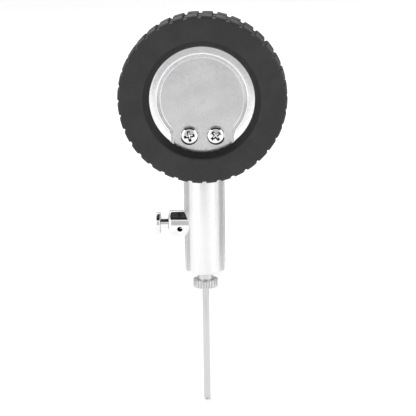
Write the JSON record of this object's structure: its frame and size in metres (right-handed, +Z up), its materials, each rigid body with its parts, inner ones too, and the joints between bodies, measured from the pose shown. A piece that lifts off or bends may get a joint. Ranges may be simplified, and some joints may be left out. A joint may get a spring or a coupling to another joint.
{
  "type": "ball pressure gauge",
  "caption": "Pocket dial gauge in a tyre-shaped rubber guard, with a chrome stem, a push-button bleed valve and a screw-in inflation needle.",
  "frame": {"origin": "on the needle's axis, at the collar's face that stops against the ball", "axes": "+Z up along the needle and the stem, the dial faces -Y, the bleed valve points to +X"},
  "size_m": [0.049, 0.017, 0.1162],
  "materials": {
    "guard_rubber": "matt moulded rubber",
    "seal_rubber": "smooth",
    "satin_chrome": "satin chrome plate on brass",
    "bright_chrome": "bright plate",
    "case_steel": "drawn and plated",
    "small_steel": "turned",
    "brass": "machined",
    "window_glass": "clear",
    "dial_white": "matt printed",
    "pointer_black": "matt"
  },
  "bodies": {
    "gauge": {"tyre_guard": "guard_rubber", "gauge_case": "case_steel", "bezel_ring": "bright_chrome", "lens": "window_glass", "lens_gasket": "seal_rubber", "dial_plate": "dial_white", "dial_screw_left": "small_steel", "dial_screw_right": "small_steel", "zero_stop_pin": "small_steel", "movement_front_plate": "brass", "movement_rear_plate": "brass", "movement_pillar_left": "brass", "movement_pillar_right": "brass", "movement_screw_left": "small_steel", "movement_screw_right": "small_steel", "hairspring": "small_steel", "hairspring_stud": "brass", "bourdon_tube": "brass", "socket_block": "brass", "case_screw_left": "bright_chrome", "case_screw_right": "bright_chrome", "stem_seal": "seal_rubber", "stem_body": "satin_chrome", "bleed_valve_body": "bright_chrome", "bleed_seat_insert": "brass", "bleed_spring": "small_steel"},
    "pointer_group": {"pinion_arbor": "small_steel", "hairspring_collet": "brass", "pointer": "pointer_black", "pointer_hub": "brass"},
    "sector_group": {"sector_gear": "brass", "sector_arbor": "small_steel", "sector_link_pin": "small_steel"},
    "tip_group": {"tube_tip": "brass", "tip_link_pin": "small_steel"},
    "link_group": {"link": "small_steel"},
    "bleed_group": {"bleed_plunger": "bright_chrome", "bleed_button": "bright_chrome", "bleed_poppet_seal": "seal_rubber", "bleed_poppet_retainer": "brass"},
    "needle_travel_group": {"needle_o_ring": "seal_rubber"},
    "needle_group": {"needle_collar": "bright_chrome", "needle_tube": "bright_chrome"}
  },
  "joints": [
    {"name": "bleed_press", "type": "slide", "parent": "gauge", "child": "bleed_group", "axis": [-1, 0, 0], "range_m": [0, 0.0018], "stiffness_N_per_m": 250, "springref_m": -0.002, "deforming": ["bleed_spring"]},
    {"name": "pointer_spin", "type": "hinge", "parent": "gauge", "child": "pointer_group", "pos_m": [0, 0, 0.0566], "axis": [0, 1, 0], "range_deg": [0, 270], "stiffness_Nm_per_rad": 0.00002, "springref_deg": -57.3, "deforming": ["hairspring"]},
    {"name": "sector_swing", "type": "hinge", "parent": "gauge", "child": "sector_group", "pos_m": [0.006, 0, 0.0486], "axis": [0, -1, 0], "range_deg": [0, 30.01]},
    {"name": "tube_unwind", "type": "hinge", "parent": "gauge", "child": "tip_group", "pos_m": [-0.00034, 0, 0.06182], "axis": [0, -1, 0], "range_deg": [0, 6.53], "deforming": ["bourdon_tube"]},
    {"name": "link_turn", "type": "hinge", "parent": "tip_group", "child": "link_group", "pos_m": [0.01243, 0, 0.04913], "axis": [0, -1, 0], "range_deg": [-13.45, 0.1]},
    {"name": "needle_travel", "type": "slide", "parent": "gauge", "child": "needle_travel_group", "axis": [0, 0, -1], "range_m": [0, 0.005]},
    {"name": "needle_unscrew", "type": "hinge", "parent": "needle_travel_group", "child": "needle_group", "pos_m": [0, 0, 0], "axis": [0, 0, 1], "range_deg": [0, 2251]}
  ],
  "couplings": [
    {"joint": "sector_swing", "follows": "pointer_spin", "ratio": 0.11111},
    {"joint": "tube_unwind", "follows": "pointer_spin", "ratio": 0.024148},
    {"joint": "link_turn", "follows": "pointer_spin", "ratio": -0.04963},
    {"joint": "needle_unscrew", "follows": "needle_travel", "rad_per_m": 7854}
  ]
}
